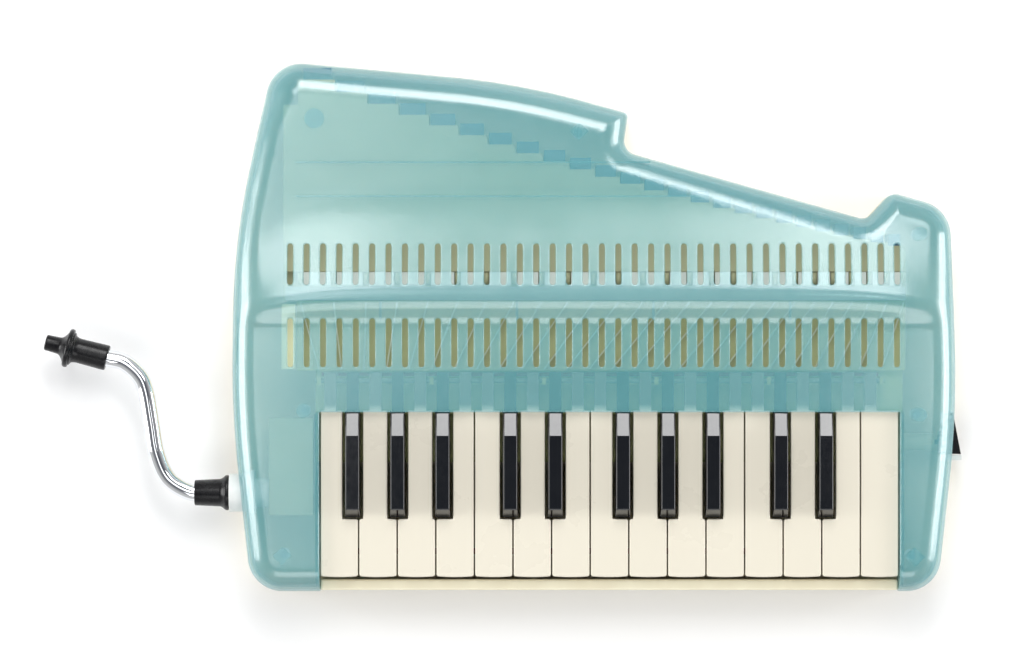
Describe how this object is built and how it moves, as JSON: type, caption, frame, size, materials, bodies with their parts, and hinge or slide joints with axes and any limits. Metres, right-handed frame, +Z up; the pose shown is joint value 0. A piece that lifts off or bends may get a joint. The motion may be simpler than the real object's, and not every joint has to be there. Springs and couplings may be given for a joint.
{
  "type": "keyboard recorder",
  "caption": "Breath-blown keyboard instrument: a piano-style keyboard on a translucent casing of stopped recorder pipes, with a bent metal blow pipe on the left.",
  "frame": {"origin": "centre of the casing's footprint, on the face it rests on", "axes": "+X along the keys to the treble end, +Y from the keys to the rear, +Z up"},
  "size_m": [0.4647, 0.2664, 0.0465],
  "materials": {
    "mint_plastic": "semi-gloss, translucent mint",
    "cream_plastic": "satin moulded",
    "tan_plastic": "satin moulded",
    "ivory_keys": "semi-gloss",
    "black_keys": "gloss",
    "black_plastic": "semi-gloss",
    "white_plastic": "semi-gloss",
    "windway_film": "clear film",
    "spring_steel": "bright drawn",
    "chrome_tube": "polished chrome",
    "red_felt": "felt",
    "soft_rubber": "matt"
  },
  "bodies": {
    "casing": {"upper_casing": "mint_plastic", "lower_casing": "cream_plastic", "pipe_tray_lower": "cream_plastic", "pipe_divider": "cream_plastic", "pipe_tray_upper": "cream_plastic", "lip_strip": "white_plastic", "channel_board": "tan_plastic", "windway_film": "windway_film", "hinge_rod": "spring_steel", "heel_felt": "red_felt", "front_felt": "red_felt", "wind_chest": "cream_plastic", "chest_gasket": "soft_rubber", "valve_comb": "spring_steel", "inlet_box": "cream_plastic", "drain_duct": "soft_rubber", "lever_pin": "spring_steel", "lever_housing": "white_plastic", "mouth_socket": "white_plastic"},
    "white_key_01": {"white_key_01": "ivory_keys"},
    "black_key_01": {"black_key_01": "black_keys"},
    "white_key_02": {"white_key_02": "ivory_keys"},
    "black_key_02": {"black_key_02": "black_keys"},
    "white_key_03": {"white_key_03": "ivory_keys"},
    "black_key_03": {"black_key_03": "black_keys"},
    "white_key_04": {"white_key_04": "ivory_keys"},
    "white_key_05": {"white_key_05": "ivory_keys"},
    "black_key_04": {"black_key_04": "black_keys"},
    "white_key_06": {"white_key_06": "ivory_keys"},
    "black_key_05": {"black_key_05": "black_keys"},
    "white_key_07": {"white_key_07": "ivory_keys"},
    "white_key_08": {"white_key_08": "ivory_keys"},
    "black_key_06": {"black_key_06": "black_keys"},
    "white_key_09": {"white_key_09": "ivory_keys"},
    "black_key_07": {"black_key_07": "black_keys"},
    "white_key_10": {"white_key_10": "ivory_keys"},
    "black_key_08": {"black_key_08": "black_keys"},
    "white_key_11": {"white_key_11": "ivory_keys"},
    "white_key_12": {"white_key_12": "ivory_keys"},
    "black_key_09": {"black_key_09": "black_keys"},
    "white_key_13": {"white_key_13": "ivory_keys"},
    "black_key_10": {"black_key_10": "black_keys"},
    "white_key_14": {"white_key_14": "ivory_keys"},
    "white_key_15": {"white_key_15": "ivory_keys"},
    "mouth_pipe": {"mouth_collar": "black_plastic", "mouth_tube": "chrome_tube", "mouthpiece": "black_plastic"},
    "lever": {"drain_lever": "black_plastic"}
  },
  "joints": [
    {"name": "white_key_01_hinge", "type": "hinge", "parent": "casing", "child": "white_key_01", "pos_m": [-0.1329, -0.0271, 0.032], "axis": [1, 0, 0], "range_deg": [0, 3], "stiffness_Nm_per_rad": 0.3, "springref_deg": -11.46, "deforming": ["valve_comb"]},
    {"name": "black_key_01_hinge", "type": "hinge", "parent": "casing", "child": "black_key_01", "pos_m": [-0.12158, -0.0271, 0.032], "axis": [1, 0, 0], "range_deg": [0, 3], "stiffness_Nm_per_rad": 0.3, "springref_deg": -11.46, "deforming": ["valve_comb"]},
    {"name": "white_key_02_hinge", "type": "hinge", "parent": "casing", "child": "white_key_02", "pos_m": [-0.11027, -0.0271, 0.032], "axis": [1, 0, 0], "range_deg": [0, 3], "stiffness_Nm_per_rad": 0.3, "springref_deg": -11.46, "deforming": ["valve_comb"]},
    {"name": "black_key_02_hinge", "type": "hinge", "parent": "casing", "child": "black_key_02", "pos_m": [-0.09895, -0.0271, 0.032], "axis": [1, 0, 0], "range_deg": [0, 3], "stiffness_Nm_per_rad": 0.3, "springref_deg": -11.46, "deforming": ["valve_comb"]},
    {"name": "white_key_03_hinge", "type": "hinge", "parent": "casing", "child": "white_key_03", "pos_m": [-0.08763, -0.0271, 0.032], "axis": [1, 0, 0], "range_deg": [0, 3], "stiffness_Nm_per_rad": 0.3, "springref_deg": -11.46, "deforming": ["valve_comb"]},
    {"name": "black_key_03_hinge", "type": "hinge", "parent": "casing", "child": "black_key_03", "pos_m": [-0.07632, -0.0271, 0.032], "axis": [1, 0, 0], "range_deg": [0, 3], "stiffness_Nm_per_rad": 0.3, "springref_deg": -11.46, "deforming": ["valve_comb"]},
    {"name": "white_key_04_hinge", "type": "hinge", "parent": "casing", "child": "white_key_04", "pos_m": [-0.065, -0.0271, 0.032], "axis": [1, 0, 0], "range_deg": [0, 3], "stiffness_Nm_per_rad": 0.3, "springref_deg": -11.46, "deforming": ["valve_comb"]},
    {"name": "white_key_05_hinge", "type": "hinge", "parent": "casing", "child": "white_key_05", "pos_m": [-0.05368, -0.0271, 0.032], "axis": [1, 0, 0], "range_deg": [0, 3], "stiffness_Nm_per_rad": 0.3, "springref_deg": -11.46, "deforming": ["valve_comb"]},
    {"name": "black_key_04_hinge", "type": "hinge", "parent": "casing", "child": "black_key_04", "pos_m": [-0.04237, -0.0271, 0.032], "axis": [1, 0, 0], "range_deg": [0, 3], "stiffness_Nm_per_rad": 0.3, "springref_deg": -11.46, "deforming": ["valve_comb"]},
    {"name": "white_key_06_hinge", "type": "hinge", "parent": "casing", "child": "white_key_06", "pos_m": [-0.03105, -0.0271, 0.032], "axis": [1, 0, 0], "range_deg": [0, 3], "stiffness_Nm_per_rad": 0.3, "springref_deg": -11.46, "deforming": ["valve_comb"]},
    {"name": "black_key_05_hinge", "type": "hinge", "parent": "casing", "child": "black_key_05", "pos_m": [-0.01973, -0.0271, 0.032], "axis": [1, 0, 0], "range_deg": [0, 3], "stiffness_Nm_per_rad": 0.3, "springref_deg": -11.46, "deforming": ["valve_comb"]},
    {"name": "white_key_07_hinge", "type": "hinge", "parent": "casing", "child": "white_key_07", "pos_m": [-0.00842, -0.0271, 0.032], "axis": [1, 0, 0], "range_deg": [0, 3], "stiffness_Nm_per_rad": 0.3, "springref_deg": -11.46, "deforming": ["valve_comb"]},
    {"name": "white_key_08_hinge", "type": "hinge", "parent": "casing", "child": "white_key_08", "pos_m": [0.0029, -0.0271, 0.032], "axis": [1, 0, 0], "range_deg": [0, 3], "stiffness_Nm_per_rad": 0.3, "springref_deg": -11.46, "deforming": ["valve_comb"]},
    {"name": "black_key_06_hinge", "type": "hinge", "parent": "casing", "child": "black_key_06", "pos_m": [0.01422, -0.0271, 0.032], "axis": [1, 0, 0], "range_deg": [0, 3], "stiffness_Nm_per_rad": 0.3, "springref_deg": -11.46, "deforming": ["valve_comb"]},
    {"name": "white_key_09_hinge", "type": "hinge", "parent": "casing", "child": "white_key_09", "pos_m": [0.02553, -0.0271, 0.032], "axis": [1, 0, 0], "range_deg": [0, 3], "stiffness_Nm_per_rad": 0.3, "springref_deg": -11.46, "deforming": ["valve_comb"]},
    {"name": "black_key_07_hinge", "type": "hinge", "parent": "casing", "child": "black_key_07", "pos_m": [0.03685, -0.0271, 0.032], "axis": [1, 0, 0], "range_deg": [0, 3], "stiffness_Nm_per_rad": 0.3, "springref_deg": -11.46, "deforming": ["valve_comb"]},
    {"name": "white_key_10_hinge", "type": "hinge", "parent": "casing", "child": "white_key_10", "pos_m": [0.04817, -0.0271, 0.032], "axis": [1, 0, 0], "range_deg": [0, 3], "stiffness_Nm_per_rad": 0.3, "springref_deg": -11.46, "deforming": ["valve_comb"]},
    {"name": "black_key_08_hinge", "type": "hinge", "parent": "casing", "child": "black_key_08", "pos_m": [0.05948, -0.0271, 0.032], "axis": [1, 0, 0], "range_deg": [0, 3], "stiffness_Nm_per_rad": 0.3, "springref_deg": -11.46, "deforming": ["valve_comb"]},
    {"name": "white_key_11_hinge", "type": "hinge", "parent": "casing", "child": "white_key_11", "pos_m": [0.0708, -0.0271, 0.032], "axis": [1, 0, 0], "range_deg": [0, 3], "stiffness_Nm_per_rad": 0.3, "springref_deg": -11.46, "deforming": ["valve_comb"]},
    {"name": "white_key_12_hinge", "type": "hinge", "parent": "casing", "child": "white_key_12", "pos_m": [0.08212, -0.0271, 0.032], "axis": [1, 0, 0], "range_deg": [0, 3], "stiffness_Nm_per_rad": 0.3, "springref_deg": -11.46, "deforming": ["valve_comb"]},
    {"name": "black_key_09_hinge", "type": "hinge", "parent": "casing", "child": "black_key_09", "pos_m": [0.09343, -0.0271, 0.032], "axis": [1, 0, 0], "range_deg": [0, 3], "stiffness_Nm_per_rad": 0.3, "springref_deg": -11.46, "deforming": ["valve_comb"]},
    {"name": "white_key_13_hinge", "type": "hinge", "parent": "casing", "child": "white_key_13", "pos_m": [0.10475, -0.0271, 0.032], "axis": [1, 0, 0], "range_deg": [0, 3], "stiffness_Nm_per_rad": 0.3, "springref_deg": -11.46, "deforming": ["valve_comb"]},
    {"name": "black_key_10_hinge", "type": "hinge", "parent": "casing", "child": "black_key_10", "pos_m": [0.11607, -0.0271, 0.032], "axis": [1, 0, 0], "range_deg": [0, 3], "stiffness_Nm_per_rad": 0.3, "springref_deg": -11.46, "deforming": ["valve_comb"]},
    {"name": "white_key_14_hinge", "type": "hinge", "parent": "casing", "child": "white_key_14", "pos_m": [0.12738, -0.0271, 0.032], "axis": [1, 0, 0], "range_deg": [0, 3], "stiffness_Nm_per_rad": 0.3, "springref_deg": -11.46, "deforming": ["valve_comb"]},
    {"name": "white_key_15_hinge", "type": "hinge", "parent": "casing", "child": "white_key_15", "pos_m": [0.1387, -0.0271, 0.032], "axis": [1, 0, 0], "range_deg": [0, 3], "stiffness_Nm_per_rad": 0.3, "springref_deg": -11.46, "deforming": ["valve_comb"]},
    {"name": "mouthpiece_swivel", "type": "hinge", "parent": "casing", "child": "mouth_pipe", "pos_m": [-0.1845, -0.0838, 0.018], "axis": [1, 0, 0], "continuous": true},
    {"name": "drain_lever_pivot", "type": "hinge", "parent": "casing", "child": "lever", "pos_m": [0.1801, -0.0457, 0.0115], "axis": [0, 0, -1], "range_deg": [0, 4.5], "stiffness_Nm_per_rad": 0.02, "springref_deg": -28.65}
  ]
}
